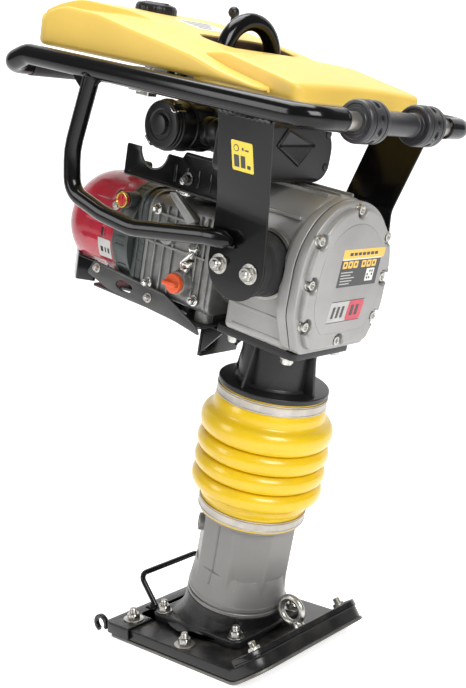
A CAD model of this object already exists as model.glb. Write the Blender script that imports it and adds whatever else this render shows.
"""Jumping jack rammer: the finished look of every piece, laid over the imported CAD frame."""
import math

import bmesh
import bpy
from mathutils import Matrix, Vector


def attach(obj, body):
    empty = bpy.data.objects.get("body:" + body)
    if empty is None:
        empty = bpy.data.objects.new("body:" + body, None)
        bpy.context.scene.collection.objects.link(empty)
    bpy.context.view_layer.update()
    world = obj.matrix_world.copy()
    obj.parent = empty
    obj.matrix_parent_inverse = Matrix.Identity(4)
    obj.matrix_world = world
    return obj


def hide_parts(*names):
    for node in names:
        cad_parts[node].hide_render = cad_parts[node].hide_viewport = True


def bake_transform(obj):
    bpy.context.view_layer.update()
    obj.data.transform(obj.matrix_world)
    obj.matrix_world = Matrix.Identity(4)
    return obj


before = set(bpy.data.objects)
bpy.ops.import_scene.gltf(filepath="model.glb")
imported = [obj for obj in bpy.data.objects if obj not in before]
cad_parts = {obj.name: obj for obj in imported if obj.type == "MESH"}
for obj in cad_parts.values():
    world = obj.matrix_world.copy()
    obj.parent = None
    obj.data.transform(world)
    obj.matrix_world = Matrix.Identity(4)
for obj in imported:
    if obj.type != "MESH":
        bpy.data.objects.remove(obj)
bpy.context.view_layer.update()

# ---------------------------------------------------------------- shoe
# A steel wear plate and a thick black board are clamped under strips; the toe is bent up.
# Every piece is drawn in millimetres and turned into metres when its mesh is made.
MM = 0.001
FLAT = Matrix.Identity(4)
LEAN = Matrix.Translation((0, 0, 30.2)) @ Matrix.Rotation(math.radians(13), 4, "Y")


class Value:
    """A shader socket that can be used in plain arithmetic."""

    def __init__(self, tree, socket):
        self.tree, self.socket = tree, socket

    def math(self, operation, *others, clamp=False):
        node = self.tree.nodes.new("ShaderNodeMath")
        node.operation, node.use_clamp = operation, clamp
        for place, item in enumerate((self,) + others):
            if isinstance(item, Value):
                self.tree.links.new(item.socket, node.inputs[place])
            else:
                node.inputs[place].default_value = item
        return Value(self.tree, node.outputs[0])

    def __add__(self, other):
        return self.math("ADD", other)

    def __sub__(self, other):
        return self.math("SUBTRACT", other)

    def __rsub__(self, other):
        return (self * -1.0) + other

    def __mul__(self, other):
        return self.math("MULTIPLY", other)

    __radd__, __rmul__ = __add__, __mul__

    def ramp(self, low, high):
        """0 below low, 1 above high and straight in between."""
        return ((self - low) * (1.0 / (high - low))).math("ADD", 0.0, clamp=True)


class Finish:
    """One procedural material. What varies is mixed here; what is constant sits on the shader."""

    def __init__(self, name, colour, rough, metal=0.0, coat=0.0, **sockets):
        self.material = bpy.data.materials.new(name)
        self.material.use_nodes = True
        self.tree = self.material.node_tree
        self.shader = self.tree.nodes["Principled BSDF"]
        self.colour, self.rough, self.normal = tuple(colour) + (1.0,), rough, None
        self.shader.inputs["Metallic"].default_value = metal
        self.shader.inputs["Coat Weight"].default_value = coat
        self.shader.inputs["Coat Roughness"].default_value = 0.08
        for socket, number in sockets.items():
            self.shader.inputs[socket.replace("_", " ")].default_value = number
        self.place = self.node("ShaderNodeTexCoord", {}, {}, "Object")
        self.height = self.node("ShaderNodeSeparateXYZ", {}, {"Vector": self.place}, "Z")
        facing = self.node("ShaderNodeNewGeometry", {}, {}, "Normal")
        self.upward = self.node("ShaderNodeSeparateXYZ", {}, {"Vector": facing}, "Z")

    def node(self, kind, settings, inputs, output=0):
        made = self.tree.nodes.new(kind)
        for setting, choice in settings.items():
            if setting == "stops":
                while len(made.color_ramp.elements) < len(choice):
                    made.color_ramp.elements.new(0.5)
                for stop, (where, shade) in zip(made.color_ramp.elements, choice):
                    stop.position, stop.color = where, tuple(shade) + (1.0,)
            else:
                setattr(made, setting, choice)
        for socket, item in inputs.items():
            if isinstance(item, Value):
                self.tree.links.new(item.socket, made.inputs[socket])
            else:
                made.inputs[socket].default_value = item
        return Value(self.tree, made.outputs[output])

    def noise(self, scale, detail=3.0, rough=0.55, stretch=None):
        place = self.place
        if stretch:
            place = self.node("ShaderNodeVectorMath", {"operation": "MULTIPLY"},
                              {0: place, 1: stretch})
        return self.node("ShaderNodeTexNoise", {},
                         {"Vector": place, "Scale": scale, "Detail": detail, "Roughness": rough})

    def tint(self, share, colour, rough=None):
        """Lays another colour, and its own roughness, where share is 1."""
        self.colour = self.node("ShaderNodeMix", {"data_type": "RGBA"},
                                {0: share, 6: self.colour, 7: tuple(colour) + (1.0,)}, 2)
        if rough is not None:
            if not isinstance(self.rough, Value):
                self.rough = share * (rough - self.rough) + self.rough
            else:
                self.rough = self.rough * (1.0 - share) + share * rough
        return self

    def mottle(self, scale, depth):
        """Slow light and dark drift of the colour."""
        drift = self.noise(scale, 4.0).ramp(0.3, 0.7)
        darker = tuple(part * (1.0 - depth) for part in self.base())
        return self.tint(drift, darker)

    def base(self):
        return self.colour[:3] if isinstance(self.colour, tuple) else (0.5, 0.5, 0.5)

    def grain(self, scale, depth, detail=2.0, stretch=None):
        """Fine relief: sand-cast skin, moulded texture or brush marks. Depth is in metres."""
        height = self.noise(scale, detail, stretch=stretch)
        values = {"Strength": 1.0, "Distance": depth, "Height": height}
        if self.normal is not None:
            values["Normal"] = self.normal
        self.normal = self.node("ShaderNodeBump", {}, values)
        return self

    def dust(self, amount, colour=(0.42, 0.39, 0.34), below=None):
        """Pale dust that settles on what faces up, and more of it low down if below is given."""
        share = self.upward.ramp(0.2, 0.95) * self.noise(28.0, 5.0).ramp(0.42, 0.72) * amount
        if below is not None:
            share = share * (1.0 - self.height.ramp(below * 0.4, below))
        return self.tint(share, colour, 0.75)

    def wear(self, amount, colour, scale=60.0, rough=0.45):
        """Small scuffs that cut through to another colour."""
        share = self.noise(scale, 6.0, 0.7).ramp(0.66, 0.74) * amount
        return self.tint(share, colour, rough)

    def done(self):
        for socket, item in (("Base Color", self.colour), ("Roughness", self.rough),
                             ("Normal", self.normal)):
            if isinstance(item, Value):
                self.tree.links.new(item.socket, self.shader.inputs[socket])
            elif item is not None:
                self.shader.inputs[socket].default_value = item
        return self.material


def soften(points, radius, closed=True, steps=6):
    """Rounds the corners of a flat outline or of a route; radius is one number or one per corner."""
    corners = [Vector(point) for point in points]
    count = len(corners)
    sizes = radius if isinstance(radius, (list, tuple)) else [radius] * count
    line = []
    for index, corner in enumerate(corners):
        if sizes[index] <= 0 or (not closed and index in (0, count - 1)):
            line.append(corner)
            continue
        before = (corners[index - 1] - corner).normalized()
        after = (corners[(index + 1) % count] - corner).normalized()
        half = before.angle(after) / 2
        if half > math.pi / 2 - 0.01:
            line.append(corner)
            continue
        reach = sizes[index] / math.tan(half)
        centre = corner + (before + after).normalized() * sizes[index] / math.sin(half)
        start, finish = corner + before * reach - centre, corner + after * reach - centre
        turn = start.angle(finish)
        parts = max(2, round(steps * turn / (math.pi / 2)))
        for part in range(parts + 1):
            share = part / parts
            if turn < 1e-4:
                line.append(centre + start)
            else:
                line.append(centre + (start * math.sin((1 - share) * turn)
                                      + finish * math.sin(share * turn)) / math.sin(turn))
    return line


def oblong(left, low, right, high):
    """The corners of an upright rectangle, in order."""
    return [(left, low), (right, low), (right, high), (left, high)]


def circle(x, y, radius, steps=40, tall=None):
    tall = radius if tall is None else tall
    return [Vector((x + radius * math.cos(2 * math.pi * step / steps),
                    y + tall * math.sin(2 * math.pi * step / steps))) for step in range(steps)]


AXES = {"x": ((0, 1, 0), (0, 0, 1), (1, 0, 0)), "y": ((1, 0, 0), (0, 0, 1), (0, 1, 0)),
        "z": ((1, 0, 0), (0, 1, 0), (0, 0, 1))}


def axes(along):
    """Two directions across and one along, from a letter or from a direction."""
    if isinstance(along, str):
        return [Vector(axis) for axis in AXES[along]]
    ahead = Vector(along).normalized()
    side = ahead.orthogonal().normalized()
    return [side, ahead.cross(side), ahead]


def inset(loop, amount):
    """Moves a closed outline inwards by amount."""
    count = len(loop)
    area = sum(loop[i - 1].x * loop[i].y - loop[i].x * loop[i - 1].y for i in range(count))
    sign = 1 if area > 0 else -1
    moved = []
    for index, point in enumerate(loop):
        back, ahead = point - loop[index - 1], loop[(index + 1) % count] - point
        if back.length < 1e-9 or ahead.length < 1e-9:
            back = ahead = (loop[(index + 1) % count] - loop[index - 1])
        first = Vector((-back.y, back.x)).normalized()
        second = Vector((-ahead.y, ahead.x)).normalized()
        middle = first + second
        if middle.length < 1e-6:
            moved.append(point.copy())
            continue
        middle.normalize()
        moved.append(point + middle * (sign * amount / max(0.4, middle.dot(first))))
    return moved


def rings(loops, closed_ends=True):
    """A skin through loops of equal length, in order."""
    count = len(loops[0])
    points = [point for loop in loops for point in loop]
    faces = [(row * count + i, row * count + (i + 1) % count, (row + 1) * count + (i + 1) % count,
              (row + 1) * count + i) for row in range(len(loops) - 1) for i in range(count)]
    if closed_ends:
        faces.append(tuple(range(count)))
        faces.append(tuple(range(len(points) - count, len(points))))
    return points, faces


def slab(outline, low, high, edge=1.0, along="z", at=(0, 0, 0), holes=(), steps=3, notched=False):
    """An outline drawn out along an axis between two heights, with rounded rims and holes."""
    across, up, ahead = axes(along)
    loop = [Vector(point[:2]) for point in outline]
    levels = []
    for step in range(steps + 1):
        turn = math.pi / 2 * step / steps
        levels.append((edge * (1 - math.sin(turn)), low + edge * (1 - math.cos(turn))))
    levels += [(amount, high + low - level) for amount, level in reversed(levels)]
    base = Vector(at)

    def place(loop_2d, level):
        return [base + across * p.x + up * p.y + ahead * level for p in loop_2d]

    points, faces = rings([place(inset(loop, amount), level) for amount, level in levels],
                          not (holes or notched))
    if holes or notched:
        mesh = bmesh.new()
        for face_loop in (points[:len(loop)], points[-len(loop):]):
            level = (face_loop[0] - base).dot(ahead)
            all_loops = [face_loop] + [place([Vector(p[:2]) for p in hole], level) for hole in holes]
            edges = []
            for one in all_loops:
                made = [mesh.verts.new(p) for p in one]
                edges += [mesh.edges.new((made[i - 1], made[i])) for i in range(len(made))]
            bmesh.ops.triangle_fill(mesh, edges=edges, use_beauty=True)
        start = len(points)
        mesh.verts.index_update()
        points = points + [v.co.copy() for v in mesh.verts]
        faces += [tuple(start + v.index for v in face.verts) for face in mesh.faces]
        mesh.free()
        for hole in holes:
            ring = [Vector(p[:2]) for p in hole]
            more, skin = rings([place(ring, low), place(ring, high)], False)
            faces += [tuple(len(points) + i for i in face) for face in skin]
            points = points + more
    return points, faces


def spin(profile, at=(0, 0, 0), along="z", steps=64, shape=None):
    """A turned piece: (radius, height) pairs round an axis. shape(angle, height) scales the radius."""
    across, up, ahead = axes(along)
    base = Vector(at)
    loops = []
    for point in profile:
        radius, height = max(point[0], 0.001), point[1]
        loop = []
        for step in range(steps):
            turn = 2 * math.pi * step / steps
            grown = radius * (shape(turn, height) if shape else 1)
            loop.append(base + across * (grown * math.cos(turn)) + up * (grown * math.sin(turn))
                        + ahead * height)
        loops.append(loop)
    return rings(loops)


def turned(profile, radius, at=(0, 0, 0), along="z", steps=64):
    """A turned piece whose profile corners are rounded."""
    return spin(soften(profile, radius, closed=False, steps=4), at, along, steps)


def tube(route, bends, radius, steps=20, shape=None):
    """A round bar or pipe along straight runs joined by arcs; shape(share) gives (wide, tall)."""
    line = soften(route, bends, closed=False, steps=8)
    line = [p for i, p in enumerate(line) if i == 0 or (p - line[i - 1]).length > 1e-4]
    ahead = (line[1] - line[0]).normalized()
    side = ahead.orthogonal().normalized()
    lengths = [0.0]
    for i in range(1, len(line)):
        lengths.append(lengths[-1] + (line[i] - line[i - 1]).length)
    loops = []
    for i, point in enumerate(line):
        onward = (line[min(i + 1, len(line) - 1)] - line[max(i - 1, 0)]).normalized()
        side = (side - onward * side.dot(onward)).normalized()
        up = onward.cross(side)
        wide, tall = shape(lengths[i] / lengths[-1]) if shape else (1, 1)
        loops.append([point + side * (radius * wide * math.cos(2 * math.pi * s / steps))
                      + up * (radius * tall * math.sin(2 * math.pi * s / steps))
                      for s in range(steps)])
    for end, inner, spot in ((0, 1, 0), (-1, -2, len(loops) + 1)):
        centre = line[end]
        outward = (line[end] - line[inner]).normalized()
        cap = [centre + (p - centre) * 0.86 + outward * radius * 0.14 for p in loops[end]]
        loops.insert(spot, cap)
    return rings(loops)


def block(low, high, edge=1.0):
    """A small plate or block with rounded rims and corners."""
    plan = [(low[0], low[1]), (high[0], low[1]), (high[0], high[1]), (low[0], high[1])]
    return slab(soften(plan, edge, steps=3), low[2], high[2], edge * 0.6)


def moved(part, matrix):
    return [matrix @ Vector(p) for p in part[0]], part[1]


def warped(part, rule):
    return [Vector(rule(*p)) for p in part[0]], part[1]


def nut(at, along, across, height, washer=0.0, stud=0.0, reach=0.0, seat=2.2):
    """A washer, a hexagon with its corners turned off, and the threaded end of the stud."""
    side, up, ahead = axes(along)
    base = Vector(at)
    parts = []
    start = 0.0
    if washer:
        parts.append(turned(oblong(stud * 0.6, 0, washer, seat), 0.5,
                            at, ahead, 40))
        start = seat
    loops = []
    flat_radius = across / 2
    for level, limit in ((0.0, 0.97), (0.06, 1.2), (0.8, 1.2), (1.0, 0.95)):
        loop = []
        for step in range(36):
            turn = 2 * math.pi * step / 36
            local = (turn + math.pi / 6) % (math.pi / 3) - math.pi / 6
            radius = flat_radius / math.cos(local)
            fall = max(0.0, radius - flat_radius * 0.97) * 0.55
            radius = min(radius, flat_radius * limit) if limit < 1.1 else radius
            rise = start + level * height - (fall if 0.5 < level < 0.9 else 0.0)
            loop.append(base + side * (radius * math.cos(turn)) + up * (radius * math.sin(turn))
                        + ahead * rise)
        loops.append(loop)
    parts.append(rings(loops))
    if reach:
        top = start + height
        thread = [(stud * 0.9, top - 1)]
        pitch = stud * 0.28
        for turn_count in range(int((reach - 1) / pitch)):
            thread += [(stud * 0.88, top + turn_count * pitch), (stud, top + (turn_count + 0.5) * pitch)]
        thread += [(stud * 0.86, top + reach - 0.8), (stud * 0.7, top + reach), (0, top + reach)]
        parts.append(spin(thread, at, ahead, 24))
    return parts


def piece(name, body, look, parts, nodes=(), frame_matrix=LEAN, angle=32):
    """Joins closed skins into one object, in metres, that rides with its CAD body."""
    mesh = bpy.data.meshes.new(name)
    points, faces, marks = [], [], []
    looks = look if isinstance(look, (list, tuple)) else [look]
    for part in parts:
        mark = part[2] if len(part) > 2 else 0
        faces += [tuple(len(points) + i for i in face) for face in part[1]]
        marks += [mark] * len(part[1])
        points += [tuple((frame_matrix @ Vector(p)) * MM) for p in part[0]]
    mesh.from_pydata(points, [], faces)
    for one in looks:
        mesh.materials.append(one)
    mesh.polygons.foreach_set("material_index", marks)
    work = bmesh.new()
    work.from_mesh(mesh)
    bmesh.ops.remove_doubles(work, verts=work.verts, dist=1e-6)
    bmesh.ops.recalc_face_normals(work, faces=work.faces)
    work.to_mesh(mesh)
    work.free()
    mesh.polygons.foreach_set("use_smooth", [True] * len(mesh.polygons))
    mesh.set_sharp_from_angle(angle=math.radians(angle))
    made = bpy.data.objects.new(name, mesh)
    bpy.context.scene.collection.objects.link(made)
    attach(made, body)
    if nodes:
        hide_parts(*([nodes] if isinstance(nodes, str) else nodes))
    return made


def mark(part, number):
    """Gives a skin another look of its piece."""
    return part[0], part[1], number


def sliced(part, axis, places):
    """Cuts a skin across at several places, so that it can be bent there."""
    mesh = bmesh.new()
    made = [mesh.verts.new(p) for p in part[0]]
    for face in part[1]:
        try:
            mesh.faces.new([made[i] for i in face])
        except ValueError:
            pass
    normal = Vector((0, 0, 0))
    normal[axis] = 1
    for where in places:
        bmesh.ops.bisect_plane(mesh, geom=mesh.verts[:] + mesh.edges[:] + mesh.faces[:],
                               plane_co=normal * where, plane_no=normal, dist=1e-5)
    mesh.verts.index_update()
    points = [v.co.copy() for v in mesh.verts]
    faces = [tuple(v.index for v in face.verts) for face in mesh.faces]
    mesh.free()
    return points, faces


SOLE_REAR, SOLE_HALF, BOARD_TOP = -146, 142.5, 23
TOE_ANGLE, TOE_FROM, TOE_TO, TOE_END = math.radians(33), 116, 140, 190
BEND_PLACES = [TOE_FROM + 3 * step for step in range(9)]


def toe(run, across, height):
    """A point of the shoe by its distance along the bent underside and its height above it."""
    radius = (TOE_TO - TOE_FROM) / TOE_ANGLE
    turn = TOE_ANGLE * min(1.0, max(0.0, (run - TOE_FROM) / (TOE_TO - TOE_FROM)))
    x = min(run, TOE_FROM) + radius * math.sin(turn)
    z = radius * (1 - math.cos(turn))
    beyond = max(0.0, run - TOE_TO)
    x, z = x + beyond * math.cos(turn), z + beyond * math.sin(turn)
    return x - height * math.sin(turn), across, z + height * math.cos(turn)


def sole_layer(low, high, back, edge):
    """One layer of the shoe: its plan is drawn flat and then bent up at the toe."""
    plan = soften(oblong(SOLE_REAR + back, back - SOLE_HALF, TOE_END - back, SOLE_HALF - back),
                  [10, 34, 34, 10])
    return warped(sliced(slab(plan, low, high, edge), 0, BEND_PLACES), toe)


wear_steel = Finish("ground_wear_steel", (0.20, 0.19, 0.18), 0.42, metal=1.0)
wear_steel.mottle(30, 0.35).grain(180, 0.0004, stretch=(1, 12, 1))
wear_steel.dust(0.3, below=0.1)
piece("wear_plate", "foot", wear_steel.done(), [sole_layer(0, 5.2, 0, 1.2)], "sole_plate", FLAT)

board_black = Finish("scuffed_black_board", (0.006, 0.006, 0.0065), 0.3, coat=0.1, Specular_IOR_Level=0.35)
board_black.wear(0.35, (0.07, 0.068, 0.064), 34).dust(0.28, (0.16, 0.15, 0.13), 0.12)
board_black.grain(700, 0.00008)
piece("shock_board", "foot", board_black.done(), [sole_layer(5, BOARD_TOP, 1.5, 2.0)], "sole_board",
      FLAT)

black_paint = Finish("gloss_black_enamel", (0.0025, 0.0025, 0.003), 0.17, coat=0.12, Specular_IOR_Level=0.28)
black_paint.wear(0.10, (0.04, 0.04, 0.04), 120).dust(0.04, (0.16, 0.15, 0.14))
BLACK = black_paint.grain(420, 0.00005, 1.0).done()
dusty_paint = Finish("dusty_black_enamel", (0.006, 0.006, 0.0065), 0.24, coat=0.25, Specular_IOR_Level=0.35)
dusty_paint.wear(0.3, (0.09, 0.085, 0.08), 70).dust(0.2, (0.16, 0.15, 0.13), 0.2)
DUSTY = dusty_paint.grain(420, 0.00006, 1.0).done()
bare_edge = Finish("rubbed_steel_edge", (0.16, 0.155, 0.15), 0.3, metal=1.0)
BARE = bare_edge.mottle(90, 0.5).grain(300, 0.0002).done()

# Channel strip that clamps the board along the toe, with its front lip rubbed bright.
STRIP_FROM = 146
strip_plan = soften(oblong(STRIP_FROM, -142, TOE_END - 0.5, 142), [2, 33, 33, 2])
outer = soften(oblong(STRIP_FROM, -142, TOE_END - 0.5, 142), [0, 33, 33, 0], closed=False)
inner = soften(oblong(STRIP_FROM, -137.5, TOE_END - 5, 137.5), [0, 28.5, 28.5, 0], closed=False)
lip_plan = outer + inner[::-1]
piece("toe_strip", "foot", [DUSTY, BARE],
      [warped(slab(strip_plan, 23, 28, 1.2), toe), warped(slab(lip_plan, 24, 34.5, 1.4), toe),
       mark(warped(slab(inset(lip_plan, 1.5), 34.2, 34.9, 0.3), toe), 1)],
      "front_strip", FLAT)

# Heel strip folded down over the rear edge and both sides; its right end is curled into a hook.
heel_plan = [(-150, -146.5), (-96, -146.5), (-96, -90), (-126, -90), (-126, 90), (-96, 90),
             (-96, 146.5), (-150, 146.5)]
skirt_plan = [(-150, -146.5), (-96, -146.5), (-96, -142.7), (-146.2, -142.7), (-146.2, 142.7),
              (-96, 142.7), (-96, 146.5), (-150, 146.5)]
hook_arc = [(15 * math.cos(turn), 15 * math.sin(turn)) for turn in
            [math.radians(250 - 7 * step) for step in range(41)]]
hook_back = [(9.2 * math.cos(turn), 9.2 * math.sin(turn)) for turn in
             [math.radians(-30 + 7 * step) for step in range(41)]]
hook = slab([(x - 164, z + 18) for x, z in hook_arc + hook_back], -146.5, -138.5, 1.2, "y")
piece("heel_strip", "foot", DUSTY,
      [slab(soften(heel_plan, [8, 3, 3, 8, 8, 3, 3, 8]), 23, 27, 1.1),
       slab(soften(skirt_plan, [8, 1, 1, 5, 5, 1, 1, 8]), 8, 26, 1.0), hook],
      "rear_strip", FLAT)

# ---------------------------------------------------------------- foot casting
# Sand-cast iron foot, painted black: a thick drilled flange and the leaned neck, on four studs.
cast_black = Finish("black_cast_iron", (0.008, 0.008, 0.0085), 0.38, coat=0.08, Specular_IOR_Level=0.4)
cast_black.wear(0.25, (0.06, 0.06, 0.06), 50).dust(0.22, (0.16, 0.15, 0.13), 0.16)
CAST_BLACK = cast_black.grain(330, 0.0005, 3.0).done()
FLANGE_TOP = 37
FLANGE_BOLTS = [(x, y) for x in (-86, 73) for y in (-72, 72)]
neck_line = soften([(20, -40), (104, -40), (90, -2), (83.5, 14), (81, 30), (80.5, 44.8), (60, 44.8)],
                   [0, 0, 14, 10, 6, 1.5, 0], closed=False)
neck = warped(moved(spin(neck_line, steps=96), LEAN), lambda x, y, z: (x, y, max(z, 30)))
flange = slab(soften(oblong(-102, -88, 89, 88), 16), BOARD_TOP, FLANGE_TOP, 3)
piece("cast_foot", "foot", CAST_BLACK, [flange, neck], "foot_casting", FLAT)

# Zinc-plated studs, nuts and washers of the shoe, all of one size.
zinc = Finish("zinc_plate", (0.62, 0.61, 0.57), 0.3, metal=1.0)
zinc.mottle(160, 0.3).dust(0.35, (0.35, 0.31, 0.26), 0.16).wear(0.35, (0.30, 0.26, 0.2), 200, 0.6)
ZINC = zinc.grain(900, 0.00012).done()
fasteners = []
for x, y in FLANGE_BOLTS:
    fasteners += nut((x, y, FLANGE_TOP), "z", 19, 9, 13.5, 6, 9, 2)
for x, y in ((8.5, -121), (8.5, 121)):
    fasteners += nut((x, y, BOARD_TOP), "z", 19, 9, 17, 6, 9, 2)
for x, y in ((-118, -112), (-118, 112)):
    fasteners += nut((x, y, 27), "z", 19, 9, 17, 6, 9, 2)
TOE_UP = (-math.sin(TOE_ANGLE), 0, math.cos(TOE_ANGLE))
for y in (-108, 108):
    fasteners += nut(toe(166, y, 28), TOE_UP, 19, 9, 15, 6, 9, 2)
piece("shoe_fasteners", "foot", ZINC, fasteners, "shoe_bolts", FLAT)

# Forged eye bolt through the middle of the toe, for the tie-down strap.
eye_seat = toe(166, 0, 28)
ring_centre = toe(166, 0, 28 + 8 + 26)
eye_ring = []
ring_side, ring_up, ring_ahead = axes("y")
for step in range(49):
    turn = 2 * math.pi * step / 48
    outward = ring_side * math.cos(turn) + ring_up * math.sin(turn)
    eye_ring.append([Vector(ring_centre) + outward * (20.5 + 5.6 * math.cos(a))
                     + ring_ahead * (5.6 * math.sin(a))
                     for a in [2 * math.pi * s / 16 for s in range(16)]])
piece("toe_eye", "foot", ZINC,
      [rings(eye_ring, False),
       spin(soften([(0, 0), (14, 0), (14, 3), (11, 5), (8, 12), (9, 16), (0, 16)],
                   [0, 1, 1, 4, 6, 2, 0], closed=False), eye_seat, TOE_UP, 40)],
      "eye_bolt", FLAT)

# Bent rod behind the leg, welded to two tabs that sit under the rear nuts.
loop_route = [(-106, -72, 41), (-142, -72, 87), (-142, 72, 87), (-106, 72, 41)]
tabs = []
for side in (-1, 1):
    tabs.append(block((-119, side * 72 - 12, 37), (-99, side * 72 + 12, 41.5), 1.5))
    tabs.append(tube([(-112, side * 72 - 4, 43), (-104, side * 72 - 4.6, 41)], 0, 3.4, 12))
piece("carry_loop", "foot", BLACK, [tube(loop_route, 14, 4.6, 18)] + tabs, "foot_loop", FLAT)

# ---------------------------------------------------------------- leg sleeve
# Cast aluminium sleeve in warm grey paint: eight flats over a flared collar, two rings below it
# and the machined seat of the gaiter above. It stands on the neck and houses the ram tube.
cast_grey = Finish("grey_painted_casting", (0.34, 0.335, 0.325), 0.4, metal=0.3, coat=0.1)
cast_grey.mottle(9, 0.22).dust(0.12).wear(0.25, (0.62, 0.6, 0.56), 90, 0.35)
GREY = cast_grey.grain(520, 0.00022, 3.0).done()
leg_grey = Finish("leg_grey_paint", (0.215, 0.208, 0.20), 0.4, metal=0.2, coat=0.1)
leg_grey.mottle(9, 0.15).dust(0.2, (0.5, 0.49, 0.47)).wear(0.25, (0.5, 0.48, 0.45), 90, 0.35)
LEG_GREY = leg_grey.grain(520, 0.00022, 3.0).done()
FLATS = 72


def flats(turn, height):
    """Grows the round section into eight flats with softened corners, and cuts the corner groove."""
    local = (turn + math.pi / 8) % (math.pi / 4) - math.pi / 8
    local = math.pi / 8 - abs(local)
    flat_radius = min(FLATS / math.cos(math.pi / 8 - local), 77.4) if height > 62 else 0
    if height > 190:
        flat_radius = 0
    radius = max(flat_radius, sleeve_radius(height))
    if 84 < height < 188 and abs((turn - math.radians(270) + math.pi) % (2 * math.pi) - math.pi) < 0.02:
        radius -= 2.2
    return radius / sleeve_radius(height)


SLEEVE_LINE = [(60, 45.2), (79.6, 45.2), (80.5, 46.0), (80.5, 50.2), (79.8, 51), (77.6, 51.2),
               (77.4, 53.8), (79.4, 54), (80.2, 54.8), (80.2, 59.8), (79.6, 61)]
SLEEVE_LINE += [(79.4 - 0.11 * step, 62 + step) for step in range(44)]
SLEEVE_LINE += [(71.5, 106), (71, 108), (71, 120), (71, 145), (71, 170), (71, 184), (72, 189), (76, 191.6),
                (82, 193), (82.5, 194),
               (82.5, 196.4), (81.2, 197), (81, 199), (81, 222), (55, 222)]


def sleeve_radius(height):
    for (first, low), (second, high) in zip(SLEEVE_LINE[1:], SLEEVE_LINE[2:-1]):
        if low <= height <= high and high > low:
            return first + (second - first) * (height - low) / (high - low)
    return SLEEVE_LINE[1][0]


sleeve_line = [(max(radius, sleeve_radius(height)) if 45.2 < height < 222 else radius, height)
               for radius, height in SLEEVE_LINE]
sight_way = Vector((-1, -1, 0)).normalized()
boss = spin(soften([(0, 60), (14, 60), (14, 80), (10.4, 80), (10.4, 75.5), (0, 75.5)],
                   [0, 0, 1.5, 0.8, 0.6, 0], closed=False), (0, 0, 165), sight_way, 32)
piece("sleeve_casting", "foot", LEG_GREY,
      [spin(sleeve_line, steps=192, shape=lambda turn, height: flats(turn, height)
            if 45.3 < height < 221.9 else 1), boss], "leg_sleeve", LEAN, 24)

# Sight glass that shows the oil level, pressed into its boss.
glass = Finish("oil_sight_glass", (0.75, 0.70, 0.45), 0.06, Transmission_Weight=0.85, IOR=1.5)
piece("level_glass", "foot", glass.grain(60, 0.0001).done(),
      [spin([(0, 75.2), (10.2, 75.2), (10.2, 78), (9, 78.8), (0, 79.4)], (0, 0, 165), sight_way, 28)],
      "sight_glass", LEAN)

# Inside the leg: ground ram tube, its two springs and the piston between them.
oiled_steel = Finish("oiled_ground_steel", (0.42, 0.41, 0.40), 0.22, metal=1.0)
OILED = oiled_steel.mottle(40, 0.3).grain(260, 0.00015, stretch=(1, 1, 14)).done()
spring_steel = Finish("blued_spring_steel", (0.10, 0.105, 0.12), 0.3, metal=1.0)
SPRING = spring_steel.mottle(60, 0.4).grain(300, 0.0001).done()


def ready(node, look, width=0.0):
    """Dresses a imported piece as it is: its look, and a small round on its edges if width is given."""
    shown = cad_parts[node]
    shown.data.materials.clear()
    shown.data.materials.append(look)
    shown.data.polygons.foreach_set("use_smooth", [True] * len(shown.data.polygons))
    shown.data.set_sharp_from_angle(angle=math.radians(28))
    if width:
        edge = shown.modifiers.new("edge", "BEVEL")
        edge.width, edge.segments, edge.limit_method = width, 2, "ANGLE"
        edge.angle_limit = math.radians(40)
        edge.harden_normals = False


ready("ram_tube", OILED)
ready("spring_piston", OILED)


def coil(low, high, mean=34, wire=4, turns=4):
    line = []
    for step in range(24 * turns + 1):
        turn = 2 * math.pi * step / 24
        line.append((mean * math.cos(turn), mean * math.sin(turn), low + wire + 0.5
                     + (high - low - 2 * wire - 1) * step / (24 * turns)))
    return tube(line, 0, wire, 12)


PISTON_LOW, PISTON_TOP, SEAT_LOW = 106, 118, 200
for name, low, high, ends in (("lower_spring", 24, PISTON_LOW, ("foot", "piston")),
                              ("upper_spring", PISTON_TOP, SEAT_LOW, ("piston", "foot"))):
    spring = piece(name, ends[0], SPRING, [coil(low, high)],
                   "ram_springs" if name == "lower_spring" else (), LEAN)
    spring.parent = None
    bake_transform(spring)

# ---------------------------------------------------------------- gaiter
# Thick moulded rubber bellows in glossy yellow, four fat folds, held by a steel band at each end.
yellow_rubber = Finish("yellow_rubber", (0.74, 0.49, 0.006), 0.3, coat=0.3)
yellow_rubber.mottle(14, 0.10).dust(0.10, (0.45, 0.36, 0.2)).wear(0.12, (0.55, 0.36, 0.03), 80)
gaiter_line = [(80.4, 197.4), (84.3, 197.4), (84.6, 199), (84.6, 219), (85.2, 222), (87.4, 225),
               (88.8, 230), (89.2, 235)]
for low, high in ((237, 268), (268, 299), (299, 331), (331, 369)):
    for step in range(28):
        share = -0.99 + 1.98 * step / 27
        gaiter_line.append((90.2 + 14.4 * (1 - share * share) ** 0.42,
                            (low + high + share * (high - low)) / 2))
gaiter_line += [(89.4, 371), (88.6, 374), (88.4, 380), (87.2, 386), (85.4, 389), (84.6, 391.5),
                (84.6, 409), (84.2, 410.7), (80.4, 410.7)]
folds_skin = piece("bellows", "foot", yellow_rubber.grain(240, 0.00012).done(),
                   [spin(gaiter_line, steps=128)], "gaiter", LEAN, 50)
folds_skin.parent = None
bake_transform(folds_skin)

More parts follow.
